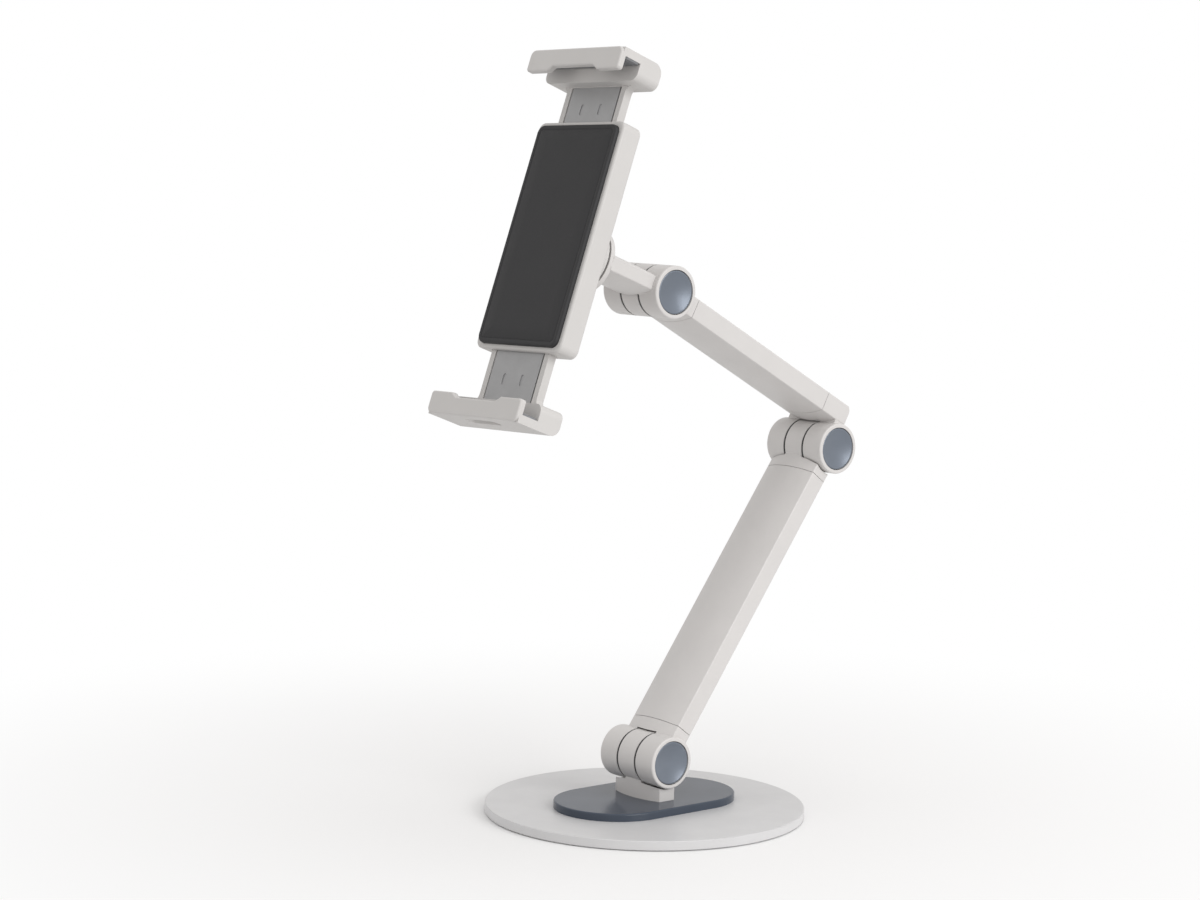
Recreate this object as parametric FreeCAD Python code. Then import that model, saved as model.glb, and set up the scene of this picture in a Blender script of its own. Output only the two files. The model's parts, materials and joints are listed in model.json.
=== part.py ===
import FreeCAD, Part
import math
import os

# Tabletop tablet stand: round weighted base, two folding arms, a tilting and turning head, and a
# spring-free clamp whose two jaws open together on a rack and pinion.
# Millimetres. +Z is up, -Y is the user's side, X runs along every hinge axis.
# The origin is the centre of the base's underside.

# ---- driving dimensions -------------------------------------------------------------------------

# base
BASE_RADIUS = 78.0
GRIP_PAD_THICKNESS = 1.2
GRIP_PAD_INSET = 3.0
DISC_LIFT = 0.4
DISC_THICKNESS = 4.6
DISC_EDGE_RADIUS = 0.5
DISC_UNDER_RADIUS = 0.4
PLATE_WIDTH = 59.0
PLATE_LENGTH = 98.0
PLATE_THICKNESS = 3.8
PLATE_EDGE_RADIUS = 0.8
FOOT_SCREW_X = 10.0
FOOT_SCREW_RADIUS = 2.5
FOOT_SCREW_HEAD_RADIUS = 4.6
FOOT_SCREW_TOP = 13.5

# one oval bar profile serves the foot and both arms: two flat sides and two convex faces
BAR_WIDTH = 33.0
BAR_EDGE_DEPTH = 9.4
BAR_CROWN_DEPTH = 16.0
BAR_CORNER_RADIUS = 0.7
TUBE_WALL = 1.8
SPIGOT_LENGTH = 14.0
SPIGOT_GAP = 0.05

# arms, as hinge positions and angles in the pose as stored
LOWER_HINGE_HEIGHT = 27.9
LOWER_ARM_LENGTH = 181.7
LOWER_ARM_LEAN = 36.0
UPPER_ARM_LENGTH = 136.0
UPPER_ARM_RISE = 28.45
UPPER_ARM_OFFSET = 18.0
SEAM_DISTANCE = 17.3
SEAM_GAP = 0.25
OFFSET_BAR_END = -0.5
OFFSET_BAR_CORNER = 4.0
SADDLE_END = 6.5
HOLDER_TILT = 20.4
HOLDER_TURN = 1.4

# hinge knuckles
KNUCKLE_RADIUS = 12.65
KNUCKLE_HALF_LENGTH = 19.4
KNUCKLE_EDGE_RADIUS = 0.8
TONGUE_HALF_WIDTH = 5.8
SLOT_HALF_WIDTH = 7.1
KNUCKLE_RELIEF = 0.8
BOLT_RADIUS = 3.0
BOLT_CLEARANCE = 0.05
BOLT_HEAD_RADIUS = 5.2
BOLT_HEAD_THICKNESS = 4.0
BOLT_HEAD_ROUNDING = 1.4
BOLT_RECESS_RADIUS = 2.0
BOLT_RECESS_FLOOR = 1.6
BOLT_END_REACH = 0.3
NUT_RADIUS = 5.75
NUT_THICKNESS = 4.6
POCKET_RADIUS = 7.6
HEAD_POCKET_START = 11.4
NUT_POCKET_START = 10.0
CAP_RADIUS = 10.4
CAP_THICKNESS = 1.8
CAP_GAP = 0.35
CAP_SINK = 0.25
CAP_DISH = 1.0
CAP_RIM = 0.8
WASHER_RADIUS = 12.4
WASHER_THICKNESS = 1.1
SPRING_RADIUS = 6.2
SPRING_THICKNESS = 0.6
SPRING_RISE = 0.35
WASHER_CLEARANCE = 0.2

# head: a short thin neck from the head hinge to the turning joint behind the clamp
NECK_EDGE_DEPTH = 6.6
NECK_CROWN_DEPTH = 13.2
NECK_OFFSET = 0.2
CLAMP_OFFSET = 0.2
FLANGE_RADIUS = 16.5
FLANGE_START = 39.0
FLANGE_THICKNESS = 3.0
FLANGE_ROUNDING = 1.0
TURN_WASHER_THICKNESS = 0.6
TURN_GAP = 0.1
HUB_START = 42.8
HUB_ROUNDING = 0.6
TURN_POCKET_RADIUS = 8.0
TURN_POCKET_START = 48.7
TURN_BOLT_START = 24.0
TURN_BOLT_HEAD_START = 49.9
TURN_BOLT_HEAD_THICKNESS = 4.0
WAVE_WASHER_RADIUS = 6.4
WAVE_WASHER_THICKNESS = 1.0

# clamp body, as distances from the head hinge along the clamp's own normal
BODY_HALF_WIDTH = 31.0
BODY_HALF_LENGTH = 56.2
BODY_RISE = 3.2
BODY_BACK = 56.2
BODY_SPLIT = 60.0
BODY_FRONT = 67.5
BODY_CORNER_RADIUS = 4.0
BODY_EDGE_RADIUS = 1.2
BODY_WALL = 2.0
BACK_FLOOR = 1.2
FRONT_FACE = 2.6
PAD_HALF_WIDTH = 28.5
PAD_HALF_LENGTH = 54.0
PAD_CORNER_RADIUS = 4.0
PAD_RECESS = 0.8
PAD_THICKNESS = 2.8
PAD_EDGE_RADIUS = 0.6
BODY_SCREW_X = 26.4
BODY_SCREW_Y = 48.0
BODY_SCREW_RADIUS = 1.5
BODY_SCREW_REACH = 4.0
CROSS_RECESS_LENGTH = 3.4
CROSS_RECESS_WIDTH = 0.7
CROSS_RECESS_DEPTH = 1.0
GUIDE_THICKNESS = 1.6

# sliding jaws
TABLET_HALF_HEIGHT = 84.75
JAW_PAD_THICKNESS = 1.4
JAW_WALL = 4.0
JAW_HALF_WIDTH = 33.0
JAW_LIP_BACK = 79.5
JAW_LIP_FRONT = 82.6
JAW_LIP_OVERLAP = 1.5
JAW_EAR_REACH = 5.5
JAW_NOTCH_REACH = 3.2
JAW_NOTCH_HALF_FLOOR = 14.3
JAW_NOTCH_RAMP = 3.6
JAW_FACE_CORNER = 3.2
JAW_EAR_CORNER = 1.6
JAW_BACK = 56.4
JAW_PLATE_FRONT = 70.0
JAW_BACK_CORNER = 5.0
JAW_EDGE_RADIUS = 0.9
JAW_PLATE_EDGE = 78.0
JAW_PLATE_CORNER = 4.0
JAW_ARM_CORNER = 3.5
CABLE_SLOT_HALF_WIDTH = 11.5
CABLE_SLOT_DEPTH = 6.0
CABLE_SLOT_FRONT = 77.2
CABLE_SLOT_CORNER = 2.5
JAW_PAD_SIDE_GAP = 0.3
JAW_PAD_BACK_GAP = 0.2
JAW_PAD_FRONT_GAP = 0.3
JAW_PAD_WINDOW_MARGIN = 0.5
JAW_PAD_GROOVES = 4
JAW_PAD_GROOVE_START = 17.0
JAW_PAD_GROOVE_PITCH = 4.0
JAW_PAD_GROOVE_RADIUS = 0.7
ARM_HALF_WIDTH = 21.0
ARM_BACK = 60.3
ARM_FRONT = 64.6
ARM_INNER_END = 20.0
ARM_CLEARANCE = 0.3
STRIP_HALF_WIDTH = 16.9
STRIP_THICKNESS = 1.0
STRIP_START = 32.0
STRIP_END = 77.5
STRIP_SLOT_X = 6.5
STRIP_SLOT_Y = 66.5
STRIP_SLOT_RADIUS = 1.1
STRIP_SLOT_LENGTH = 3.2
STRIP_SLOT_DEPTH = 0.35
STRIP_GROOVE_WIDTH = 0.9
STRIP_GROOVE_DEPTH = 2.0
SEAT_GAP = 0.1

# rack and pinion
GEAR_MODULE = 1.0
PINION_TEETH = 14
PRESSURE_ANGLE = 25.0
ADDENDUM = 0.95
DEDENDUM = 1.25
BACKLASH = 0.16
RACK_BACK = 57.6
RACK_FRONT = 60.0
RACK_OUTER_X = 14.5
RACK_REACH = 29.5
RACK_ROOT_END = 26.5
PINION_BACK = 57.8
PINION_FRONT = 59.8
PINION_PIN_RADIUS = 1.8
PINION_BOSS_RADIUS = 3.3
PINION_END_GAP = 0.2
PINION_SCREW_HEAD_RADIUS = 3.2
PINION_SCREW_HEAD_THICKNESS = 1.3
TOOTH_FOOT_OVERLAP = 0.5
FLANK_STEPS = 5

# ---- derived places -----------------------------------------------------------------------------

DISC_TOP = DISC_LIFT + DISC_THICKNESS
PLATE_TOP = DISC_TOP + PLATE_THICKNESS
LEAN = math.radians(LOWER_ARM_LEAN)
RISE = math.radians(UPPER_ARM_RISE)
LOWER_HINGE = FreeCAD.Vector(0, 0, LOWER_HINGE_HEIGHT)
ELBOW = LOWER_HINGE + FreeCAD.Vector(0, math.sin(LEAN), math.cos(LEAN)) * LOWER_ARM_LENGTH
UPPER_DIRECTION = FreeCAD.Vector(0, -math.cos(RISE), math.sin(RISE))
UPPER_NORMAL = FreeCAD.Vector(0, math.sin(RISE), math.cos(RISE))
HEAD_HINGE = ELBOW + UPPER_DIRECTION * UPPER_ARM_LENGTH + UPPER_NORMAL * UPPER_ARM_OFFSET
UPPER_TURN = 90.0 - UPPER_ARM_RISE
HEAD_TURN = 90.0 - HOLDER_TILT
X_AXIS = FreeCAD.Vector(1, 0, 0)
Y_AXIS = FreeCAD.Vector(0, 1, 0)
Z_AXIS = FreeCAD.Vector(0, 0, 1)
RELIEF_RADIUS = KNUCKLE_RADIUS + KNUCKLE_RELIEF
BORE_RADIUS = BOLT_RADIUS + BOLT_CLEARANCE
SPRING_DEPTH = SPRING_THICKNESS + SPRING_RISE
NUT_START = NUT_POCKET_START + 2 * SPRING_DEPTH
JAW_INNER = TABLET_HALF_HEIGHT + JAW_PAD_THICKNESS
JAW_OUTER = JAW_INNER + JAW_WALL
PITCH_RADIUS = GEAR_MODULE * PINION_TEETH / 2.0
TOOTH_PITCH = math.pi * GEAR_MODULE
EPS = 0.01
OVERRUN = 1.0
FAR = 60.0


# ---- small helpers ------------------------------------------------------------------------------

def block(x_range, y_range, z_range):
    """Box between three pairs of limits."""
    corner = FreeCAD.Vector(x_range[0], y_range[0], z_range[0])
    size = (x_range[1] - x_range[0], y_range[1] - y_range[0], z_range[1] - z_range[0])
    return Part.makeBox(size[0], size[1], size[2], corner)


def rod_x(radius, x_range, y=0.0, z=0.0):
    """Cylinder along X."""
    return Part.makeCylinder(radius, x_range[1] - x_range[0], FreeCAD.Vector(x_range[0], y, z), X_AXIS)


def rod_z(radius, z_range, x=0.0, y=0.0):
    """Cylinder along Z."""
    return Part.makeCylinder(radius, z_range[1] - z_range[0], FreeCAD.Vector(x, y, z_range[0]), Z_AXIS)


def placed(shape, turn, origin):
    """Turn a shape about the X axis by a number of degrees, then carry it to origin."""
    copy = shape.copy()
    copy.Placement = FreeCAD.Placement(origin, FreeCAD.Rotation(X_AXIS, turn))
    return copy


def mirrored_x(shape):
    return shape.mirror(FreeCAD.Vector(0, 0, 0), X_AXIS)


def fused(first, *others):
    result = first
    for other in others:
        result = result.fuse(other)
    return result.removeSplitter()


def fillet_where(shape, radius, test):
    """Round the edges whose midpoint and direction pass the test."""
    chosen = []
    for edge in shape.Edges:
        middle = edge.valueAt((edge.FirstParameter + edge.LastParameter) / 2.0)
        if test(edge, middle):
            chosen.append(edge)
    return shape.makeFillet(radius, chosen)


def is_straight_along(edge, axis):
    if not isinstance(edge.Curve, Part.Line):
        return False
    return abs(abs(edge.Curve.Direction.dot(axis)) - 1.0) < EPS


def rounded_block(half_width, half_length, z_range, corner_radius):
    """Block centred on X and Y, with its four upright corners rounded."""
    solid = block((-half_width, half_width), (-half_length, half_length), z_range)
    return fillet_where(solid, corner_radius, lambda edge, middle: is_straight_along(edge, Z_AXIS))


def level_edges(height):
    """Test for the edges that lie in the plane z = height."""
    def test(edge, middle):
        return abs(middle.z - height) < EPS and edge.BoundBox.ZLength < EPS
    return test


def bar_profile(width, edge_depth, crown_depth):
    """Face in the XY plane: flat sides across X, convex faces across Y."""
    half, edge, crown = width / 2.0, edge_depth / 2.0, crown_depth / 2.0
    front_left = FreeCAD.Vector(-half, -edge, 0)
    front_right = FreeCAD.Vector(half, -edge, 0)
    back_right = FreeCAD.Vector(half, edge, 0)
    back_left = FreeCAD.Vector(-half, edge, 0)
    front = Part.Arc(front_left, FreeCAD.Vector(0, -crown, 0), front_right).toShape()
    right = Part.makeLine(front_right, back_right)
    back = Part.Arc(back_right, FreeCAD.Vector(0, crown, 0), back_left).toShape()
    left = Part.makeLine(back_left, front_left)
    return Part.Face(Part.Wire([front, right, back, left]))


def bar(z_range, inset=0.0, edge_depth=BAR_EDGE_DEPTH, crown_depth=BAR_CROWN_DEPTH, offset=0.0):
    """Length of oval bar along Z; inset shrinks it all round; offset moves it along Y."""
    face = bar_profile(BAR_WIDTH - 2 * inset, edge_depth - 2 * inset, crown_depth - 2 * inset)
    solid = face.extrude(FreeCAD.Vector(0, 0, z_range[1] - z_range[0]))
    solid.translate(FreeCAD.Vector(0, offset, z_range[0]))
    return fillet_where(solid, BAR_CORNER_RADIUS, lambda edge, middle: is_straight_along(edge, Z_AXIS))


# ---- hinge parts, each in its own frame with the hinge axis along X through the origin -----------

def hinge_bores():
    """Everything a hinge takes out of a fork: bolt bore, two pockets and two cap seats."""
    seat_start = KNUCKLE_HALF_LENGTH - CAP_SINK - CAP_THICKNESS - SEAT_GAP
    bore = rod_x(BORE_RADIUS, (-FAR, FAR))
    head_pocket = rod_x(POCKET_RADIUS, (HEAD_POCKET_START, FAR))
    nut_pocket = rod_x(POCKET_RADIUS, (-FAR, -NUT_POCKET_START))
    right_seat = rod_x(CAP_RADIUS + CAP_GAP, (seat_start, FAR))
    left_seat = rod_x(CAP_RADIUS + CAP_GAP, (-FAR, -seat_start))
    return fused(bore, head_pocket, nut_pocket, right_seat, left_seat)


def prong():
    """The right cheek of a fork, as a drum with its outer rim eased."""
    drum = rod_x(KNUCKLE_RADIUS, (SLOT_HALF_WIDTH, KNUCKLE_HALF_LENGTH))
    return fillet_where(drum, KNUCKLE_EDGE_RADIUS,
                        lambda edge, middle: abs(edge.BoundBox.XMin - KNUCKLE_HALF_LENGTH) < EPS
                        and edge.BoundBox.XLength < EPS)


def fork(stub):
    """Join two prongs to a stub of bar and clear the slot for the tongue between them."""
    right = prong()
    whole = fused(stub, right, mirrored_x(right))
    slot = rod_x(RELIEF_RADIUS, (-SLOT_HALF_WIDTH, SLOT_HALF_WIDTH))
    return whole.cut(slot).cut(hinge_bores())


def tongue(stub):
    """Give a stub of bar a centre tongue, and hollow its shoulders round the fork's prongs."""
    right_relief = rod_x(RELIEF_RADIUS, (TONGUE_HALF_WIDTH, FAR))
    shouldered = stub.cut(right_relief).cut(mirrored_x(right_relief))
    drum = rod_x(KNUCKLE_RADIUS, (-TONGUE_HALF_WIDTH, TONGUE_HALF_WIDTH))
    bore = rod_x(BORE_RADIUS, (-FAR, FAR))
    return fused(shouldered, drum).cut(bore)


def hinge_bolt():
    """Button-head pivot bolt with a hexagon recess."""
    end = NUT_START + NUT_THICKNESS + BOLT_END_REACH
    shank = rod_x(BOLT_RADIUS, (-end, HEAD_POCKET_START))
    head = rod_x(BOLT_HEAD_RADIUS, (HEAD_POCKET_START, HEAD_POCKET_START + BOLT_HEAD_THICKNESS))
    head = fillet_where(head, BOLT_HEAD_ROUNDING,
                        lambda edge, middle: edge.BoundBox.XMin > HEAD_POCKET_START + EPS
                        and edge.BoundBox.XLength < EPS)
    recess = hexagon_x(BOLT_RECESS_RADIUS, (HEAD_POCKET_START + BOLT_RECESS_FLOOR, FAR))
    return fused(shank, head).cut(recess)


def hexagon_x(corner_radius, x_range):
    """Hexagonal prism along X."""
    corners = []
    for step in range(7):
        angle = math.radians(60 * step)
        corners.append(FreeCAD.Vector(x_range[0], corner_radius * math.cos(angle),
                                      corner_radius * math.sin(angle)))
    face = Part.Face(Part.makePolygon(corners))
    return face.extrude(FreeCAD.Vector(x_range[1] - x_range[0], 0, 0))


def hinge_nut():
    body = hexagon_x(NUT_RADIUS, (-NUT_START - NUT_THICKNESS, -NUT_START))
    return body.cut(rod_x(BOLT_RADIUS, (-FAR, 0)))


def cone_washer(x_start, opens_out):
    """One disc spring: a shallow cone with a bolt hole, SPRING_THICKNESS thick."""
    inner, outer = BORE_RADIUS + SEAT_GAP, SPRING_RADIUS
    rise = SPRING_RISE if opens_out else -SPRING_RISE
    base = x_start if opens_out else x_start + SPRING_RISE
    section = Part.makePolygon([
        FreeCAD.Vector(base, inner, 0),
        FreeCAD.Vector(base + rise, outer, 0),
        FreeCAD.Vector(base + rise + SPRING_THICKNESS, outer, 0),
        FreeCAD.Vector(base + SPRING_THICKNESS, inner, 0),
        FreeCAD.Vector(base, inner, 0)])
    return Part.Face(section).revolve(FreeCAD.Vector(0, 0, 0), X_AXIS, 360)


def hinge_springs():
    """Two disc springs back to back under the nut keep the hinge's friction even."""
    outer = cone_washer(-NUT_POCKET_START - 2 * SPRING_DEPTH, True)
    inner = cone_washer(-NUT_POCKET_START - SPRING_DEPTH, False)
    return Part.makeCompound([outer, inner])


def hinge_washers():
    """One friction washer in each groove beside the tongue."""
    middle = (TONGUE_HALF_WIDTH + SLOT_HALF_WIDTH) / 2.0
    span = (middle - WASHER_THICKNESS / 2.0, middle + WASHER_THICKNESS / 2.0)
    ring = rod_x(WASHER_RADIUS, span).cut(rod_x(BORE_RADIUS + WASHER_CLEARANCE, span))
    return Part.makeCompound([ring, mirrored_x(ring)])


def hinge_caps():
    """Dished covers that close the two ends of a hinge."""
    outer_face = KNUCKLE_HALF_LENGTH - CAP_SINK
    disc = rod_x(CAP_RADIUS, (outer_face - CAP_THICKNESS, outer_face))
    dish_edge = CAP_RADIUS - CAP_RIM
    sphere_radius = (dish_edge ** 2 + CAP_DISH ** 2) / (2 * CAP_DISH)
    dish = Part.makeSphere(sphere_radius, FreeCAD.Vector(outer_face - CAP_DISH + sphere_radius, 0, 0))
    cap = disc.cut(dish)
    return Part.makeCompound([cap, mirrored_x(cap)])


def hinge_hardware(prefix, turn, origin):
    return {
        prefix + "_hinge_bolt": placed(hinge_bolt(), turn, origin),
        prefix + "_hinge_nut": placed(hinge_nut(), turn, origin),
        prefix + "_hinge_springs": placed(hinge_springs(), turn, origin),
        prefix + "_hinge_washers": placed(hinge_washers(), turn, origin),
        prefix + "_hinge_caps": placed(hinge_caps(), turn, origin),
    }


# ---- base ---------------------------------------------------------------------------------------

def foot_screw_positions():
    return (-FOOT_SCREW_X, FOOT_SCREW_X)


def foot_screw(x):
    """Countersunk screw from under the disc up into the foot block."""
    shank = rod_z(FOOT_SCREW_RADIUS, (GRIP_PAD_THICKNESS, FOOT_SCREW_TOP), x)
    cone = Part.makeCone(FOOT_SCREW_HEAD_RADIUS, FOOT_SCREW_RADIUS,
                         FOOT_SCREW_HEAD_RADIUS - FOOT_SCREW_RADIUS,
                         FreeCAD.Vector(x, 0, GRIP_PAD_THICKNESS), Z_AXIS)
    return fused(shank, cone)


def foot_screws():
    return Part.makeCompound([foot_screw(x) for x in foot_screw_positions()])


def without_foot_screws(shape):
    result = shape
    for x in foot_screw_positions():
        result = result.cut(foot_screw(x))
    return result


def base_grip_pad():
    return rod_z(BASE_RADIUS - GRIP_PAD_INSET, (0.0, GRIP_PAD_THICKNESS))


def base_disc():
    """Weighted disc, hollowed underneath so that the grip pad stands only a little proud of it."""
    disc = rod_z(BASE_RADIUS, (DISC_LIFT, DISC_TOP))
    disc = fillet_where(disc, DISC_EDGE_RADIUS, level_edges(DISC_TOP))
    disc = fillet_where(disc, DISC_UNDER_RADIUS, level_edges(DISC_LIFT))
    seat = rod_z(BASE_RADIUS - GRIP_PAD_INSET + SEAT_GAP, (0.0, GRIP_PAD_THICKNESS))
    return without_foot_screws(disc.cut(seat))


def base_trim_plate():
    """Stadium-shaped cover plate, longer along Y."""
    radius = PLATE_WIDTH / 2.0
    reach = PLATE_LENGTH / 2.0 - radius
    middle = block((-radius, radius), (-reach, reach), (DISC_TOP, PLATE_TOP))
    ends = [rod_z(radius, (DISC_TOP, PLATE_TOP), 0.0, y) for y in (-reach, reach)]
    plate = fused(middle, ends[0], ends[1])
    plate = fillet_where(plate, PLATE_EDGE_RADIUS, level_edges(PLATE_TOP))
    return without_foot_screws(plate)


def foot_block():
    """Upright stub of bar that ends in the tongue of the lower hinge."""
    stub = bar((PLATE_TOP - LOWER_HINGE_HEIGHT, 0.0))
    foot = tongue(stub)
    foot.translate(LOWER_HINGE)
    return without_foot_screws(foot)


# ---- arms ---------------------------------------------------------------------------------------

def arm_tube(z_range, offset=0.0):
    outer = bar(z_range, 0.0, BAR_EDGE_DEPTH, BAR_CROWN_DEPTH, offset)
    longer = (z_range[0] - OVERRUN, z_range[1] + OVERRUN)
    inner = bar(longer, TUBE_WALL, BAR_EDGE_DEPTH, BAR_CROWN_DEPTH, offset)
    return outer.cut(inner)


def spigot(z_range, offset=0.0):
    """Plug on an end fitting that goes up into its arm tube."""
    return bar(z_range, TUBE_WALL + SPIGOT_GAP, BAR_EDGE_DEPTH, BAR_CROWN_DEPTH, offset)


def straight_fork():
    plug = spigot((SEAM_DISTANCE - OVERRUN, SEAM_DISTANCE + SPIGOT_LENGTH))
    return fork(fused(bar((0.0, SEAM_DISTANCE)), plug))


def straight_tongue():
    """Tongue fitting that hangs below its hinge axis, for the far end of an arm."""
    plug = spigot((-SEAM_DISTANCE - SPIGOT_LENGTH, OVERRUN - SEAM_DISTANCE))
    return tongue(fused(bar((-SEAM_DISTANCE, 0.0)), plug))


def nose_corner():
    """What rounding the bar's closed end takes away: a quarter-round that follows its convex face."""
    radius = OFFSET_BAR_CORNER
    grown = bar_profile(BAR_WIDTH + 2 * OVERRUN, BAR_EDGE_DEPTH + 2 * OVERRUN, BAR_CROWN_DEPTH + 2 * OVERRUN)
    outer = grown.extrude(FreeCAD.Vector(0, 0, radius + OVERRUN))
    outer = outer.common(block((-FAR, FAR), (0.0, FAR), (0.0, FAR)))
    core = bar_profile(BAR_WIDTH + 4 * OVERRUN, BAR_EDGE_DEPTH, BAR_CROWN_DEPTH)
    core = core.extrude(FreeCAD.Vector(0, 0, 2 * radius + OVERRUN))
    core = fillet_where(core, radius, lambda edge, middle: abs(middle.z) < EPS and middle.y > EPS
                        and abs(middle.x) < EPS and edge.BoundBox.ZLength < EPS)
    corner = outer.cut(core)
    corner.translate(FreeCAD.Vector(0, UPPER_ARM_OFFSET, OFFSET_BAR_END))
    below = OFFSET_BAR_END + radius
    return corner.common(block((-FAR, FAR), (-FAR, FAR), (OFFSET_BAR_END - OVERRUN, below)))


def offset_fork():
    """Fork whose bar runs past one side of the hinge, so that the arms fold flat on each other."""
    outer_side = UPPER_ARM_OFFSET + BAR_EDGE_DEPTH / 2.0
    stub = bar((OFFSET_BAR_END, SEAM_DISTANCE), 0.0, BAR_EDGE_DEPTH, BAR_CROWN_DEPTH, UPPER_ARM_OFFSET)
    stub = stub.cut(nose_corner())
    saddle = block((-BAR_WIDTH / 2.0, BAR_WIDTH / 2.0), (0.0, outer_side - BAR_EDGE_DEPTH),
                   (OFFSET_BAR_END, SADDLE_END))
    plug = spigot((SEAM_DISTANCE - OVERRUN, SEAM_DISTANCE + SPIGOT_LENGTH), UPPER_ARM_OFFSET)
    return fork(fused(stub, saddle, plug))


def lower_arm():
    start = SEAM_DISTANCE + SEAM_GAP
    tube = arm_tube((start, LOWER_ARM_LENGTH - start))
    return {
        "lower_arm_tube": placed(tube, -LOWER_ARM_LEAN, LOWER_HINGE),
        "lower_arm_fork": placed(straight_fork(), -LOWER_ARM_LEAN, LOWER_HINGE),
        "lower_arm_tongue": placed(straight_tongue(), -LOWER_ARM_LEAN, ELBOW),
    }


def upper_arm():
    start = SEAM_DISTANCE + SEAM_GAP
    tube = arm_tube((start, UPPER_ARM_LENGTH - start), UPPER_ARM_OFFSET)
    return {
        "upper_arm_tube": placed(tube, UPPER_TURN, ELBOW),
        "upper_arm_fork": placed(offset_fork(), UPPER_TURN, ELBOW),
        "upper_arm_tongue": placed(straight_tongue(), UPPER_TURN, HEAD_HINGE),
    }


# ---- head: frame with Z along the clamp's normal, Y up the clamp ---------------------------------

def turn_bolt():
    """Bolt on the turning axis: its shank is fixed in the neck, its head turns in the hub's pocket."""
    shank = rod_z(BOLT_RADIUS, (TURN_BOLT_START, TURN_BOLT_HEAD_START), 0.0, CLAMP_OFFSET)
    span = (TURN_BOLT_HEAD_START, TURN_BOLT_HEAD_START + TURN_BOLT_HEAD_THICKNESS)
    return fused(shank, rod_z(BOLT_HEAD_RADIUS, span, 0.0, CLAMP_OFFSET))


def turn_washer():
    """Friction ring between the neck's flange and the clamp's hub."""
    start = FLANGE_START + FLANGE_THICKNESS + TURN_GAP
    span = (start, start + TURN_WASHER_THICKNESS)
    return rod_z(FLANGE_RADIUS - FLANGE_ROUNDING, span, 0.0, CLAMP_OFFSET).cut(
        rod_z(BORE_RADIUS + WASHER_CLEARANCE, span, 0.0, CLAMP_OFFSET))


def turn_spring_washer():
    """Wave washer under the bolt's head, drawn flat."""
    start = TURN_BOLT_HEAD_START - SEAT_GAP - WAVE_WASHER_THICKNESS
    span = (start, start + WAVE_WASHER_THICKNESS)
    return rod_z(WAVE_WASHER_RADIUS, span, 0.0, CLAMP_OFFSET).cut(
        rod_z(BORE_RADIUS + WASHER_CLEARANCE, span, 0.0, CLAMP_OFFSET))


def head_bracket():
    """Fork, thin neck and round flange in one casting."""
    neck = bar((0.0, FLANGE_START + OVERRUN), 0.0, NECK_EDGE_DEPTH, NECK_CROWN_DEPTH, NECK_OFFSET)
    forked = fork(neck)
    flange = rod_z(FLANGE_RADIUS, (FLANGE_START, FLANGE_START + FLANGE_THICKNESS), 0.0, CLAMP_OFFSET)
    flange = fillet_where(flange, FLANGE_ROUNDING, level_edges(FLANGE_START))
    socket = rod_z(BOLT_RADIUS, (TURN_BOLT_START, FAR), 0.0, CLAMP_OFFSET)
    return fused(forked, flange).cut(socket)


def head():
    parts = {
        "head_bracket": head_bracket(),
        "turn_bolt": turn_bolt(),
        "turn_washer": turn_washer(),
        "turn_spring_washer": turn_spring_washer(),
    }
    return {name: placed(shape, HEAD_TURN, HEAD_HINGE) for name, shape in parts.items()}


# ---- clamp body: frame with Z along its normal from the head hinge, Y up, the turning axis at 0 --

def body_block(half_width, half_length, z_range, corner_radius):
    """Rounded block centred on the clamp body, which stands a little above the turning axis."""
    solid = rounded_block(half_width, half_length, z_range, corner_radius)
    solid.translate(Y_AXIS * BODY_RISE)
    return solid


def body_screw_positions():
    return [(x, y + BODY_RISE) for x in (-BODY_SCREW_X, BODY_SCREW_X) for y in (-BODY_SCREW_Y, BODY_SCREW_Y)]


def body_screw_blank(x, y):
    """Outside shape of a countersunk screw from the back cover into a boss of the front shell."""
    cone = Part.makeCone(2 * BODY_SCREW_RADIUS, BODY_SCREW_RADIUS, BODY_SCREW_RADIUS,
                         FreeCAD.Vector(x, y, BODY_BACK), Z_AXIS)
    return fused(rod_z(BODY_SCREW_RADIUS, (BODY_BACK, BODY_SPLIT + BODY_SCREW_REACH), x, y), cone)


def body_screw(x, y):
    long = CROSS_RECESS_LENGTH / 2.0
    short = CROSS_RECESS_WIDTH / 2.0
    span = (BODY_BACK - OVERRUN, BODY_BACK + CROSS_RECESS_DEPTH)
    across = block((x - long, x + long), (y - short, y + short), span)
    upright = block((x - short, x + short), (y - long, y + long), span)
    return body_screw_blank(x, y).cut(fused(across, upright))


def clamp_screws():
    return Part.makeCompound([body_screw(x, y) for x, y in body_screw_positions()])


def without_body_screws(shape):
    result = shape
    for x, y in body_screw_positions():
        result = result.cut(body_screw_blank(x, y))
    return result


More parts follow.
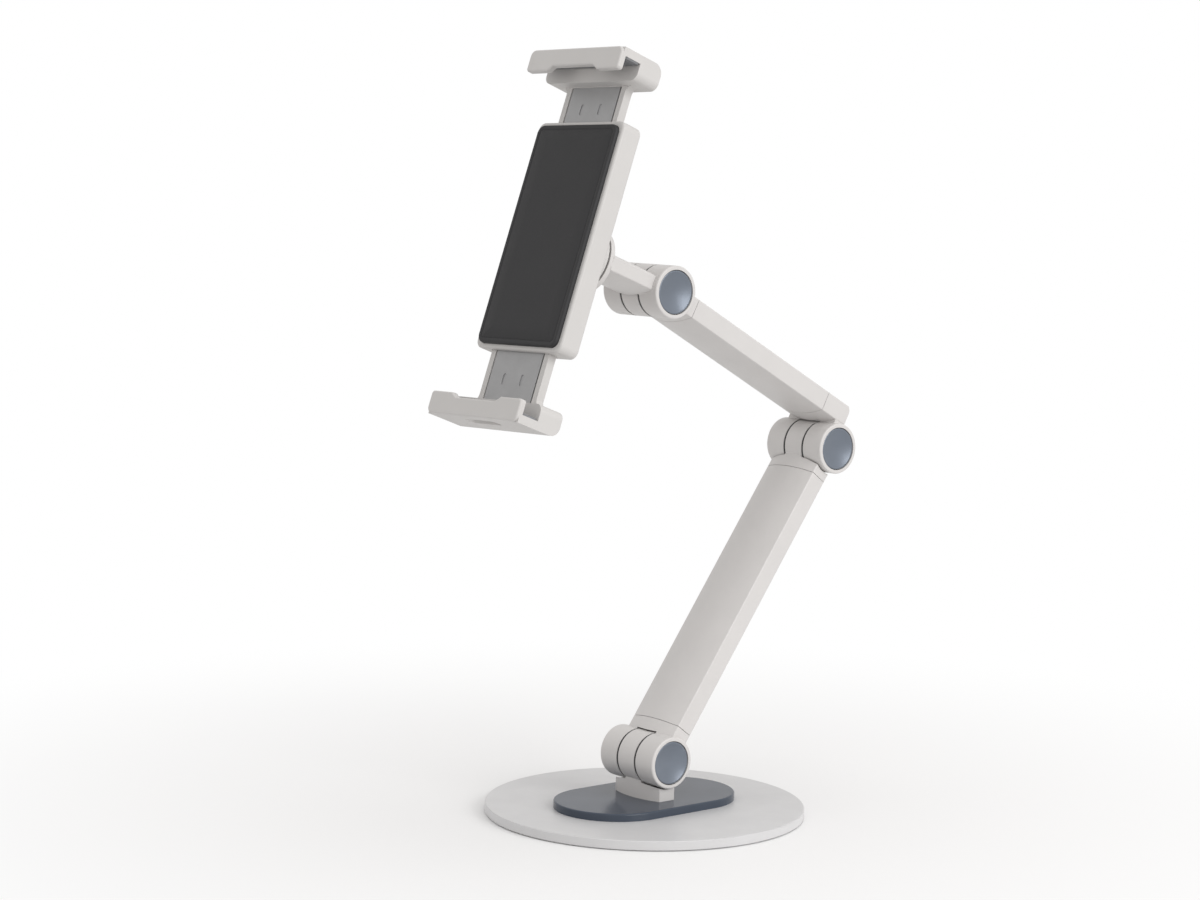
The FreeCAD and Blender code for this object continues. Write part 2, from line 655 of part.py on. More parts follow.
def clamp_back_cover():
    """Shallow tray with the round hub that turns on the neck."""
    tray = body_block(BODY_HALF_WIDTH, BODY_HALF_LENGTH, (BODY_BACK, BODY_SPLIT), BODY_CORNER_RADIUS)
    tray = fillet_where(tray, BODY_EDGE_RADIUS, level_edges(BODY_BACK))
    hollow = body_block(BODY_HALF_WIDTH - BODY_WALL, BODY_HALF_LENGTH - BODY_WALL,
                        (BODY_BACK + BACK_FLOOR, BODY_SPLIT + OVERRUN), BODY_CORNER_RADIUS - BODY_WALL)
    bosses = [rod_z(2 * BODY_SCREW_RADIUS, (BODY_BACK + EPS, BODY_SPLIT), x, y)
              for x, y in body_screw_positions()]
    hub = rod_z(FLANGE_RADIUS, (HUB_START, BODY_BACK + BACK_FLOOR))
    hub = fillet_where(hub, HUB_ROUNDING, level_edges(HUB_START))
    cover = fused(tray.cut(hollow), hub, *bosses)
    pocket = rod_z(TURN_POCKET_RADIUS, (TURN_POCKET_START, BODY_SPLIT))
    bore = rod_z(BORE_RADIUS, (HUB_START - OVERRUN, BODY_SPLIT))
    return without_body_screws(cover.cut(pocket).cut(bore))


def clamp_front_shell():
    """Deep half of the clamp's casing, with the windows that the jaw arms slide through."""
    shell = body_block(BODY_HALF_WIDTH, BODY_HALF_LENGTH, (BODY_SPLIT, BODY_FRONT), BODY_CORNER_RADIUS)
    shell = fillet_where(shell, BODY_EDGE_RADIUS, level_edges(BODY_FRONT))
    ceiling = BODY_FRONT - FRONT_FACE
    hollow = body_block(BODY_HALF_WIDTH - BODY_WALL, BODY_HALF_LENGTH - BODY_WALL,
                        (BODY_SPLIT - OVERRUN, ceiling), BODY_CORNER_RADIUS - BODY_WALL)
    window_x = ARM_HALF_WIDTH + ARM_CLEARANCE
    window = block((-window_x, window_x), (-FAR, FAR), (BODY_SPLIT - OVERRUN, ceiling))
    recess = body_block(PAD_HALF_WIDTH + SEAT_GAP, PAD_HALF_LENGTH + SEAT_GAP,
                        (BODY_FRONT - PAD_RECESS, BODY_FRONT + OVERRUN), PAD_CORNER_RADIUS)
    shell = shell.cut(hollow).cut(window).cut(recess)
    pieces = [rod_z(2 * BODY_SCREW_RADIUS, (BODY_SPLIT, ceiling + EPS), x, y)
              for x, y in body_screw_positions()]
    guide_y = BODY_HALF_LENGTH - BODY_WALL + EPS
    for side in (-1, 1):
        limits = sorted((side * window_x, side * (window_x + GUIDE_THICKNESS)))
        pieces.append(block(limits, (BODY_RISE - guide_y, BODY_RISE + guide_y), (BODY_SPLIT, ceiling + EPS)))
    pieces.append(rod_z(PINION_BOSS_RADIUS, (PINION_FRONT + PINION_END_GAP, ceiling + EPS)))
    pin_hole = rod_z(PINION_PIN_RADIUS, (BODY_SPLIT - OVERRUN, ceiling))
    return without_body_screws(fused(shell, *pieces).cut(pin_hole))


def clamp_grip_pad():
    start = BODY_FRONT - PAD_RECESS
    pad = body_block(PAD_HALF_WIDTH, PAD_HALF_LENGTH, (start, start + PAD_THICKNESS), PAD_CORNER_RADIUS)
    return fillet_where(pad, PAD_EDGE_RADIUS, level_edges(start + PAD_THICKNESS))


# ---- rack and pinion ----------------------------------------------------------------------------

def involute(base_radius, roll):
    """Point of the involute of a circle after a roll angle, starting on +X."""
    return FreeCAD.Vector(base_radius * (math.cos(roll) + roll * math.sin(roll)),
                          base_radius * (math.sin(roll) - roll * math.cos(roll)), 0)


def turned(point, angle):
    return FreeCAD.Rotation(Z_AXIS, math.degrees(angle)).multVec(point)


def pinion_tooth():
    """One tooth centred on +X, from inside the root circle to the tip circle."""
    alpha = math.radians(PRESSURE_ANGLE)
    base = PITCH_RADIUS * math.cos(alpha)
    tip = PITCH_RADIUS + ADDENDUM
    root = PITCH_RADIUS - DEDENDUM
    half_tooth = (TOOTH_PITCH / 2.0 - BACKLASH / 2.0) / (2.0 * PITCH_RADIUS)
    flank_start = half_tooth + math.tan(alpha) - alpha
    last_roll = math.sqrt((tip / base) ** 2 - 1.0)
    rolls = [last_roll * step / FLANK_STEPS for step in range(FLANK_STEPS + 1)]
    lower = [turned(involute(base, roll), -flank_start) for roll in rolls]
    upper = [FreeCAD.Vector(point.x, -point.y, 0) for point in lower]
    lower_flank = Part.BSplineCurve()
    lower_flank.interpolate(lower)
    upper_flank = Part.BSplineCurve()
    upper_flank.interpolate(list(reversed(upper)))
    inner_low = turned(FreeCAD.Vector(root - TOOTH_FOOT_OVERLAP, 0, 0), -flank_start)
    inner_high = FreeCAD.Vector(inner_low.x, -inner_low.y, 0)
    tip_arc = Part.Arc(lower[-1], FreeCAD.Vector(tip, 0, 0), upper[-1])
    edges = [Part.makeLine(inner_low, lower[0]), lower_flank.toShape(), tip_arc.toShape(),
             upper_flank.toShape(), Part.makeLine(upper[0], inner_high), Part.makeLine(inner_high, inner_low)]
    return Part.Face(Part.Wire(edges)).extrude(FreeCAD.Vector(0, 0, PINION_FRONT - PINION_BACK))


def pinion_gear():
    tooth = pinion_tooth()
    gear = rod_z(PITCH_RADIUS - DEDENDUM, (0.0, PINION_FRONT - PINION_BACK))
    step = 360.0 / PINION_TEETH
    for index in range(PINION_TEETH):
        copy = tooth.copy()
        copy.rotate(FreeCAD.Vector(0, 0, 0), Z_AXIS, step * (index + 0.5))
        gear = gear.fuse(copy)
    gear = gear.removeSplitter()
    gear.translate(FreeCAD.Vector(0, 0, PINION_BACK))
    return gear.cut(rod_z(PINION_PIN_RADIUS + BOLT_CLEARANCE, (PINION_BACK - OVERRUN, FAR)))


def pinion_screw():
    """Shoulder screw that hangs the pinion from the front shell's boss."""
    head_top = PINION_BACK - PINION_END_GAP
    shank = rod_z(PINION_PIN_RADIUS, (head_top, BODY_FRONT - FRONT_FACE))
    head = rod_z(PINION_SCREW_HEAD_RADIUS, (head_top - PINION_SCREW_HEAD_THICKNESS, head_top))
    return fused(shank, head)


def rack_bar():
    """Rack behind the upper arm, on the -X side of the pinion, with a tooth centred on y = 0."""
    root_x = -(PITCH_RADIUS + DEDENDUM)
    bar_solid = block((-RACK_OUTER_X, root_x), (-RACK_REACH, RACK_ROOT_END), (RACK_BACK, RACK_FRONT))
    slope = math.tan(math.radians(PRESSURE_ANGLE))
    half_pitch_width = TOOTH_PITCH / 4.0 - BACKLASH / 4.0
    root_half = half_pitch_width + DEDENDUM * slope
    tip_half = half_pitch_width - ADDENDUM * slope
    tip_x = -(PITCH_RADIUS - ADDENDUM)
    foot_x = root_x - TOOTH_FOOT_OVERLAP
    outline = [(foot_x, -root_half), (root_x, -root_half), (tip_x, -tip_half), (tip_x, tip_half),
               (root_x, root_half), (foot_x, root_half), (foot_x, -root_half)]
    profile = Part.Face(Part.makePolygon([FreeCAD.Vector(x, y, RACK_BACK) for x, y in outline]))
    tooth = profile.extrude(FreeCAD.Vector(0, 0, RACK_FRONT - RACK_BACK))
    first = -int((RACK_REACH - root_half) / TOOTH_PITCH)
    last = int((RACK_ROOT_END - root_half) / TOOTH_PITCH)
    teeth = []
    for index in range(first, last + 1):
        copy = tooth.copy()
        copy.translate(FreeCAD.Vector(0, index * TOOTH_PITCH, 0))
        teeth.append(copy)
    root = block((-RACK_OUTER_X, root_x), (ARM_INNER_END + OVERRUN, RACK_ROOT_END),
                 (RACK_FRONT - OVERRUN, ARM_BACK + OVERRUN))
    return fused(bar_solid, root, *teeth)


# ---- jaws: built for the upper side; the lower one is the same part turned half round -----------

def jaw_lip():
    """Front lip with two ears and a shallow notch between them."""
    ear_y = TABLET_HALF_HEIGHT - JAW_EAR_REACH
    notch_y = TABLET_HALF_HEIGHT - JAW_NOTCH_REACH
    ramp_x = JAW_NOTCH_HALF_FLOOR + JAW_NOTCH_RAMP
    lip = block((-JAW_HALF_WIDTH, JAW_HALF_WIDTH), (ear_y, JAW_OUTER), (JAW_LIP_BACK, JAW_LIP_FRONT))
    lip = fillet_where(lip, JAW_FACE_CORNER, lambda edge, middle: is_straight_along(edge, Z_AXIS)
                       and middle.y > JAW_INNER)
    lip = fillet_where(lip, JAW_EAR_CORNER,
                       lambda edge, middle: is_straight_along(edge, Z_AXIS) and middle.y < JAW_INNER)
    start = JAW_LIP_BACK - OVERRUN
    outline = [(-ramp_x, ear_y - EPS), (ramp_x, ear_y - EPS), (JAW_NOTCH_HALF_FLOOR, notch_y),
               (-JAW_NOTCH_HALF_FLOOR, notch_y), (-ramp_x, ear_y - EPS)]
    notch = Part.Face(Part.makePolygon([FreeCAD.Vector(x, y, start) for x, y in outline]))
    lip = lip.cut(notch.extrude(FreeCAD.Vector(0, 0, FAR)))
    return fillet_where(lip, JAW_EDGE_RADIUS, level_edges(JAW_LIP_FRONT))


def jaw_arm():
    """Flat arm that slides in the clamp body, with fillets where it meets the jaw's plate."""
    arm = block((-ARM_HALF_WIDTH, ARM_HALF_WIDTH), (ARM_INNER_END, JAW_PLATE_EDGE + OVERRUN),
                (ARM_BACK, ARM_FRONT))
    collar_x = ARM_HALF_WIDTH + JAW_ARM_CORNER + OVERRUN
    collar = block((-collar_x, collar_x), (JAW_PLATE_EDGE, JAW_PLATE_EDGE + 2 * OVERRUN),
                   (ARM_BACK, ARM_FRONT))
    return fillet_where(fused(arm, collar), JAW_ARM_CORNER,
                        lambda edge, middle: is_straight_along(edge, Z_AXIS)
                        and abs(middle.y - JAW_PLATE_EDGE) < EPS and abs(middle.x) < collar_x - EPS)


def jaw_back_plate():
    """Full-width plate behind the tablet, rounded over at its outer edge, with the arm below it."""
    plate = block((-JAW_HALF_WIDTH, JAW_HALF_WIDTH), (JAW_PLATE_EDGE, JAW_OUTER),
                  (JAW_BACK, JAW_PLATE_FRONT))
    plate = fillet_where(plate, JAW_PLATE_CORNER, lambda edge, middle: is_straight_along(edge, Z_AXIS)
                         and abs(middle.y - JAW_PLATE_EDGE) < EPS)
    plate = fillet_where(plate, JAW_BACK_CORNER, lambda edge, middle: is_straight_along(edge, X_AXIS)
                         and middle.y > JAW_INNER and abs(middle.z - JAW_BACK) < EPS)
    return fused(plate, jaw_arm()).cut(strip_seat())


def strip_seat():
    """Shallow seat for the rail strip, with a deeper groove along each side of it."""
    y_range = (STRIP_START - SEAT_GAP, STRIP_END + SEAT_GAP)
    edge = STRIP_HALF_WIDTH + SEAT_GAP
    seat = block((-edge, edge), y_range, (ARM_FRONT - STRIP_THICKNESS, ARM_FRONT + OVERRUN))
    groove = block((STRIP_HALF_WIDTH, STRIP_HALF_WIDTH + STRIP_GROOVE_WIDTH), y_range,
                   (ARM_FRONT - STRIP_GROOVE_DEPTH, ARM_FRONT + OVERRUN))
    return fused(seat, groove, mirrored_x(groove))


def jaw():
    wall = block((-JAW_HALF_WIDTH, JAW_HALF_WIDTH), (JAW_INNER, JAW_OUTER),
                 (JAW_PLATE_FRONT - EPS, JAW_LIP_FRONT - JAW_LIP_OVERLAP))
    slot_back = CABLE_SLOT_FRONT - CABLE_SLOT_DEPTH
    slot = block((-CABLE_SLOT_HALF_WIDTH, CABLE_SLOT_HALF_WIDTH), (JAW_INNER - OVERRUN, JAW_OUTER + OVERRUN),
                 (slot_back, CABLE_SLOT_FRONT))
    slot = fillet_where(slot, CABLE_SLOT_CORNER, lambda edge, middle: is_straight_along(edge, Y_AXIS))
    return fused(jaw_back_plate(), wall, jaw_lip(), rack_bar()).cut(slot)


def jaw_pad():
    """Soft strip on the floor of the jaw's channel, grooved across so that it grips."""
    half_width = JAW_HALF_WIDTH - JAW_PAD_SIDE_GAP
    pad = block((-half_width, half_width), (TABLET_HALF_HEIGHT, JAW_INNER),
                (JAW_PLATE_FRONT + JAW_PAD_BACK_GAP, JAW_LIP_BACK - JAW_PAD_FRONT_GAP))
    window_half = CABLE_SLOT_HALF_WIDTH + JAW_PAD_WINDOW_MARGIN
    window = block((-window_half, window_half), (TABLET_HALF_HEIGHT - OVERRUN, JAW_INNER + OVERRUN),
                   (CABLE_SLOT_FRONT - CABLE_SLOT_DEPTH - JAW_PAD_WINDOW_MARGIN,
                    CABLE_SLOT_FRONT + JAW_PAD_WINDOW_MARGIN))
    pad = pad.cut(window)
    for side in (-1, 1):
        for index in range(JAW_PAD_GROOVES):
            x = side * (JAW_PAD_GROOVE_START + JAW_PAD_GROOVE_PITCH * index)
            groove = rod_z(JAW_PAD_GROOVE_RADIUS, (JAW_PLATE_FRONT, JAW_LIP_BACK), x, TABLET_HALF_HEIGHT)
            pad = pad.cut(groove)
    return pad


def rail_strip():
    """Steel strip let into the front of the jaw's arm, with two shallow oblong marks."""
    strip = block((-STRIP_HALF_WIDTH, STRIP_HALF_WIDTH), (STRIP_START, STRIP_END),
                  (ARM_FRONT - STRIP_THICKNESS, ARM_FRONT))
    for side in (-1, 1):
        x = side * STRIP_SLOT_X
        half = STRIP_SLOT_LENGTH / 2.0
        span = (ARM_FRONT - STRIP_SLOT_DEPTH, ARM_FRONT + OVERRUN)
        middle = block((x - STRIP_SLOT_RADIUS, x + STRIP_SLOT_RADIUS),
                       (STRIP_SLOT_Y - half, STRIP_SLOT_Y + half), span)
        ends = [rod_z(STRIP_SLOT_RADIUS, span, x, STRIP_SLOT_Y + sign * half) for sign in (-1, 1)]
        strip = strip.cut(fused(middle, ends[0], ends[1]))
    return strip


def half_turn(shape):
    """Turn a jaw part half round about the clamp's normal, from the upper side to the lower."""
    copy = shape.copy()
    copy.rotate(FreeCAD.Vector(0, 0, 0), Z_AXIS, 180)
    return copy


def clamp():
    jaw_shape, pad_shape, strip_shape = jaw(), jaw_pad(), rail_strip()
    parts = {
        "clamp_back_cover": clamp_back_cover(),
        "clamp_front_shell": clamp_front_shell(),
        "clamp_grip_pad": clamp_grip_pad(),
        "clamp_screws": clamp_screws(),
        "pinion_gear": pinion_gear(),
        "pinion_screw": pinion_screw(),
        "upper_jaw": jaw_shape,
        "upper_jaw_pad": pad_shape,
        "upper_rail_strip": strip_shape,
        "lower_jaw": half_turn(jaw_shape),
        "lower_jaw_pad": half_turn(pad_shape),
        "lower_rail_strip": half_turn(strip_shape),
    }
    up = FreeCAD.Rotation(X_AXIS, HEAD_TURN).multVec(Y_AXIS)
    centre = HEAD_HINGE + up * CLAMP_OFFSET
    turned_head = FreeCAD.Rotation(X_AXIS, HEAD_TURN).multiply(FreeCAD.Rotation(Z_AXIS, HOLDER_TURN))
    carried = FreeCAD.Placement(centre, turned_head)
    result = {}
    for name, shape in parts.items():
        copy = shape.copy()
        copy.Placement = carried.multiply(copy.Placement)
        result[name] = copy
    return result


# ---- the whole stand ----------------------------------------------------------------------------

def stand():
    parts = {
        "base_grip_pad": base_grip_pad(),
        "base_disc": base_disc(),
        "base_trim_plate": base_trim_plate(),
        "foot_block": foot_block(),
        "foot_screws": foot_screws(),
    }
    parts.update(lower_arm())
    parts.update(hinge_hardware("lower", -LOWER_ARM_LEAN, LOWER_HINGE))
    parts.update(upper_arm())
    parts.update(hinge_hardware("elbow", UPPER_TURN, ELBOW))
    parts.update(head())
    parts.update(hinge_hardware("head", HEAD_TURN, HEAD_HINGE))
    parts.update(clamp())
    return parts


os.makedirs("parts", exist_ok=True)
for node, shape in stand().items():
    shape.exportStep("parts/" + node + ".step")
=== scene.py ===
import json
import math

import bmesh
import bpy
from mathutils import Matrix, Vector


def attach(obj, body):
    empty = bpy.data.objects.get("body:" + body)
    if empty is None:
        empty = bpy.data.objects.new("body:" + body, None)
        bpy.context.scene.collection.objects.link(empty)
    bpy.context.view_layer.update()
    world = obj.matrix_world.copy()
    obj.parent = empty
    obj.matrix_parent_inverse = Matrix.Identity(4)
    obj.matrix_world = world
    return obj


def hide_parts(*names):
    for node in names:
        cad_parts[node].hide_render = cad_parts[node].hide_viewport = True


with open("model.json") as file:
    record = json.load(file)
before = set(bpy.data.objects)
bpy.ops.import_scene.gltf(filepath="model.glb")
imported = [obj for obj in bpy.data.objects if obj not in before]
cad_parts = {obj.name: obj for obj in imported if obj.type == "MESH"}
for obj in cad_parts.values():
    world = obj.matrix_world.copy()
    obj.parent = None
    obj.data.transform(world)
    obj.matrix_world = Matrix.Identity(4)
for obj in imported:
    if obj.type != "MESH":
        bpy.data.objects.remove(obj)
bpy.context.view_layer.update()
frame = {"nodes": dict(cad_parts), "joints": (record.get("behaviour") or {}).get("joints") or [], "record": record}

NODES = frame["nodes"]
JOINTS = {joint["name"]: joint for joint in frame["joints"]}
MM = 0.001
OPAQUE = 1.0

# ---- materials: scales in cycles per metre, depths in metres -------------------------------------

NOISE_LOW = 0.3
NOISE_HIGH = 0.7
GRAIN_ROUGHNESS = 0.03
MIX_FIRST = 6
MIX_SECOND = 7
MIX_COLOUR = 2


def node(tree, kind, **values):
    """New shader node; each value goes to the input of that name, or else to the property."""
    made = tree.nodes.new(kind)
    for key, value in values.items():
        if key in made.inputs:
            made.inputs[key].default_value = value
        else:
            setattr(made, key, value)
    return made


def noise(tree, coords, scale, detail, roughness=0.55, stretch=None):
    """Noise in the piece's own space; stretch scales the axes."""
    source = coords.outputs["Object"]
    if stretch:
        mapping = node(tree, "ShaderNodeMapping", Scale=stretch)
        tree.links.new(source, mapping.inputs["Vector"])
        source = mapping.outputs["Vector"]
    made = node(tree, "ShaderNodeTexNoise", Scale=scale, Detail=detail, Roughness=roughness)
    tree.links.new(source, made.inputs["Vector"])
    return made.outputs["Fac"]


def ramp(tree, value, low, high):
    """Spread the middle of a noise's range over low..high."""
    made = node(tree, "ShaderNodeMapRange")
    made.inputs["From Min"].default_value = NOISE_LOW
    made.inputs["From Max"].default_value = NOISE_HIGH
    made.inputs["To Min"].default_value = low
    made.inputs["To Max"].default_value = high
    tree.links.new(value, made.inputs["Value"])
    return made.outputs["Result"]


def colour_mix(tree, factor, first, second):
    made = node(tree, "ShaderNodeMix", data_type="RGBA")
    made.inputs[MIX_FIRST].default_value = (*first, OPAQUE)
    made.inputs[MIX_SECOND].default_value = (*second, OPAQUE)
    tree.links.new(factor, made.inputs["Factor"])
    return made.outputs[MIX_COLOUR]


def surface(name, colours, roughness, metallic=0.0, cloud=60.0, grain=1600.0, grain_depth=0.00004,
            grain_strength=0.35, ripple=None, specular=0.5, stretch=None):
    """Principled material: two close colours in soft clouds, roughness that drifts, and fine grain in relief.

    A ripple is a wider relief below the grain, given as its scale, depth and strength.
    """
    made = bpy.data.materials.new(name)
    made.use_nodes = True
    tree = made.node_tree
    shader = tree.nodes["Principled BSDF"]
    coords = node(tree, "ShaderNodeTexCoord")
    clouds = noise(tree, coords, cloud, detail=3.0)
    fine = noise(tree, coords, grain, detail=2.0, roughness=0.5, stretch=stretch)
    tree.links.new(colour_mix(tree, ramp(tree, clouds, 0.0, 1.0), *colours), shader.inputs["Base Color"])
    drift = node(tree, "ShaderNodeMath", operation="ADD")
    tree.links.new(ramp(tree, clouds, *roughness), drift.inputs[0])
    tree.links.new(ramp(tree, fine, -GRAIN_ROUGHNESS, GRAIN_ROUGHNESS), drift.inputs[1])
    tree.links.new(drift.outputs[0], shader.inputs["Roughness"])
    relief = node(tree, "ShaderNodeBump", Strength=grain_strength, Distance=grain_depth)
    tree.links.new(fine, relief.inputs["Height"])
    if ripple:
        scale, depth, strength = ripple
        wide = node(tree, "ShaderNodeBump", Strength=strength, Distance=depth)
        tree.links.new(noise(tree, coords, scale, detail=2.0), wide.inputs["Height"])
        tree.links.new(wide.outputs["Normal"], relief.inputs["Normal"])
    tree.links.new(relief.outputs["Normal"], shader.inputs["Normal"])
    shader.inputs["Metallic"].default_value = metallic
    shader.inputs["Specular IOR Level"].default_value = specular
    return made


def shades(colour, darker):
    """A colour and a slightly darker one."""
    return colour, tuple(channel * darker for channel in colour)


def powder_coat(name, colour):
    """White powder coat, with its fine orange peel."""
    return surface(name, shades(colour, 0.965), (0.30, 0.37), grain=1400.0, grain_depth=0.00003,
                   ripple=(420.0, 0.00006, 0.25))


WARM_WHITE = (0.666, 0.648, 0.636)
COOL_WHITE = (0.630, 0.628, 0.632)
MOULDED_WHITE = (0.626, 0.611, 0.597)
SLATE = (0.064, 0.078, 0.104)
CAP_SLATE = (0.190, 0.217, 0.260)
MATERIALS = {
    "white_paint": powder_coat("white_powder_coat", WARM_WHITE),
    "slate_paint": surface("slate_powder_coat", shades(SLATE, 0.92), (0.17, 0.22), grain=1500.0,
                           grain_depth=0.00003, ripple=(420.0, 0.00005, 0.25), specular=0.26),
    "white_plastic": surface("white_moulding", shades(MOULDED_WHITE, 0.975), (0.44, 0.52), grain=2600.0,
                             grain_depth=0.00004),
    "slate_plastic": surface("slate_moulding", shades(CAP_SLATE, 0.92), (0.30, 0.38), metallic=0.4,
                             grain=2600.0, grain_depth=0.00003),
    "black_plastic": surface("black_slip_plastic", ((0.016, 0.017, 0.019), (0.022, 0.023, 0.025)),
                             (0.42, 0.55)),
    "base_rubber": surface("base_rubber", ((0.020, 0.020, 0.020), (0.028, 0.027, 0.027)), (0.72, 0.85),
                           grain=1800.0, grain_depth=0.00008, grain_strength=0.6),
    "charcoal_rubber": surface("charcoal_silicone", ((0.024, 0.024, 0.026), (0.031, 0.031, 0.033)),
                               (0.58, 0.70), grain=1700.0, grain_depth=0.00006, grain_strength=0.55),
    "grey_rubber": surface("grey_silicone", ((0.20, 0.205, 0.215), (0.23, 0.235, 0.245)), (0.60, 0.72),
                           grain=1900.0, grain_depth=0.00006, grain_strength=0.5),
    "steel": surface("zinc_steel", ((0.50, 0.50, 0.49), (0.56, 0.56, 0.56)), (0.28, 0.38), metallic=1.0,
                     cloud=220.0, grain=2200.0),
    "dark_steel": surface("satin_steel", ((0.38, 0.382, 0.386), (0.42, 0.422, 0.427)), (0.34, 0.42),
                          metallic=0.4, cloud=120.0, grain=900.0, grain_depth=0.00003,
                          stretch=(6.0, 0.5, 0.5)),
}
NODE_MATERIALS = {"base_disc": powder_coat("disc_powder_coat", COOL_WHITE)}

for part in frame["record"]["subparts"]:
    cad = NODES[part["node"]]
    cad.data.materials.clear()
    cad.data.materials.append(NODE_MATERIALS.get(part["node"], MATERIALS[part["material_slot"]]))

# ---- finely shaped pieces, built in millimetres --------------------------------------------------

CLAMP_UP = Vector(JOINTS["upper_jaw_slide"]["axis"])
CLAMP_NORMAL = Vector(JOINTS["clamp_turn"]["axis"])
CLAMP_TURN = Matrix((CLAMP_UP.cross(CLAMP_NORMAL), CLAMP_UP, CLAMP_NORMAL)).transposed().to_4x4()
CLAMP_PLACE = Matrix.Translation(Vector(JOINTS["clamp_turn"]["pos_m"])) @ CLAMP_TURN
SHARP_ANGLE = math.radians(38.0)


def local_box(name):
    """Limits of a CAD node in the clamp's frame."""
    back = CLAMP_PLACE.inverted()
    points = [back @ vertex.co / MM for vertex in NODES[name].data.vertices]
    low = [min(point[axis] for point in points) for axis in range(3)]
    high = [max(point[axis] for point in points) for axis in range(3)]
    return low, high


def piece(name, shape, place, body, slot, stands_for):
    """Finish a bmesh as a piece that rides on a body and stands in for a CAD node."""
    bmesh.ops.recalc_face_normals(shape, faces=shape.faces)
    mesh = bpy.data.meshes.new(name)
    shape.to_mesh(mesh)
    shape.free()
    mesh.transform(place @ Matrix.Scale(MM, 4))
    mesh.polygons.foreach_set("use_smooth", [True] * len(mesh.polygons))
    mesh.set_sharp_from_angle(angle=SHARP_ANGLE)
    mesh.materials.append(MATERIALS[slot])
    made = bpy.data.objects.new(name, mesh)
    bpy.context.scene.collection.objects.link(made)
    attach(made, body)
    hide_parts(stands_for)


def skin(shape, loops, closed=False):
    """Quads between successive loops of points; a closed skin also joins the last loop to the first."""
    rings = [[shape.verts.new(point) for point in loop] for loop in loops]
    count = len(rings[0])
    nexts = rings[1:] + rings[:1] if closed else rings[1:]
    for low, high in zip(rings, nexts):
        for index in range(count):
            after = (index + 1) % count
            shape.faces.new((low[index], low[after], high[after], high[index]))
    return rings


def lofted(shape, loops):
    """Solid through successive loops of points, with flat ends."""
    rings = skin(shape, loops)
    shape.faces.new(list(reversed(rings[0])))
    shape.faces.new(rings[-1])


CORNERS = ((1, 1), (-1, 1), (-1, -1), (1, -1))
CORNER_STEPS = 8


def oblong(half_width, half_length, radius):
    """Rounded rectangle round the origin, as a loop of points."""
    points = []
    for corner, (side_x, side_y) in enumerate(CORNERS):
        for step in range(CORNER_STEPS + 1):
            angle = math.radians(90.0 * (corner + step / CORNER_STEPS))
            points.append((side_x * (half_width - radius) + radius * math.cos(angle),
                           side_y * (half_length - radius) + radius * math.sin(angle)))
    return points


PAD_CORNER_RADIUS = 4.0
PAD_LEAST_CORNER = 0.6
PAD_EDGE_RADIUS = 0.75
PAD_EDGE_STEPS = 5
PAD_GROOVE = ((1.9, 0.0), (2.05, 0.10), (2.2, 0.22), (2.45, 0.22), (2.6, 0.10), (2.75, 0.0))
PAD_FACE_INSETS = (9.0, 22.0)


def grip_pad():
    """Moulded silicone pad: rounded rim, a fine groove inside it (inset, depth), and a flat face."""
    low, high = local_box("clamp_grip_pad")
    middle_x, middle_y = (low[0] + high[0]) / 2.0, (low[1] + high[1]) / 2.0
    half_width, half_length = (high[0] - low[0]) / 2.0, (high[1] - low[1]) / 2.0
    bottom, top = low[2], high[2]
    section = [(0.0, bottom), (0.0, top - PAD_EDGE_RADIUS)]
    for step in range(1, PAD_EDGE_STEPS + 1):
        turn = math.radians(90.0 * step / PAD_EDGE_STEPS)
        section.append((PAD_EDGE_RADIUS * (1.0 - math.cos(turn)),
                        top - PAD_EDGE_RADIUS * (1.0 - math.sin(turn))))
    section += [(inset, top - depth) for inset, depth in PAD_GROOVE]
    section += [(inset, top) for inset in PAD_FACE_INSETS]
    loops = []
    for inset, height in section:
        radius = max(PAD_CORNER_RADIUS - inset, PAD_LEAST_CORNER)
        loop = oblong(half_width - inset, half_length - inset, radius)
        loops.append([(x + middle_x, y + middle_y, height) for x, y in loop])
    shape = bmesh.new()
    lofted(shape, loops)
    piece("grip_pad", shape, CLAMP_PLACE, "clamp", "charcoal_rubber", "clamp_grip_pad")


INSERT_LAND_SHARE = 0.28
INSERT_CORNER_RADIUS = 1.6
INSERT_EDGE_RADIUS = 0.35
INSERT_EDGE_STEPS = 4
SLOT_HALF_WIDTH = 12.0
SLOT_CORNER_RADIUS = 2.6
SLOT_BACK_FROM_FRONT = 8.5
SLOT_FRONT_FROM_FRONT = 1.5
RIBS = 10
RIB_START = 13.9
RIB_PITCH = 1.85
RIB_HALF_WIDTH = 0.5
RIB_END_MARGIN = 0.9
RIB_STEPS = 6
RIB_TAPER = ((0.0, 0.12), (0.35, 0.75), (0.8, 1.0))


def ring(shape, outer_box, inner_box, bottom, top):
    """Flat ring between two rounded rectangles, its edges rounded on the side away from the jaw."""
    turns = [math.radians(90.0 * step / INSERT_EDGE_STEPS) for step in range(INSERT_EDGE_STEPS + 1)]
    rounding = INSERT_EDGE_RADIUS
    drop = math.copysign(rounding, bottom - top)
    outer = [(rounding * (1.0 - math.cos(turn)), top + drop * (1.0 - math.sin(turn))) for turn in turns]
    inner = [(rounding * (math.sin(turn) - 1.0), top + drop * (1.0 - math.cos(turn))) for turn in turns]
    loops = []
    for box, section in ((outer_box, [(0.0, bottom)] + outer), (inner_box, inner + [(0.0, bottom)])):
        (low_x, high_x), (low_z, high_z), radius = box
        for inset, height in section:
            loop = oblong((high_x - low_x) / 2.0 - inset, (high_z - low_z) / 2.0 - inset, radius)
            loops.append([(x + (low_x + high_x) / 2.0, height, z + (low_z + high_z) / 2.0) for x, z in loop])
    skin(shape, loops, closed=True)


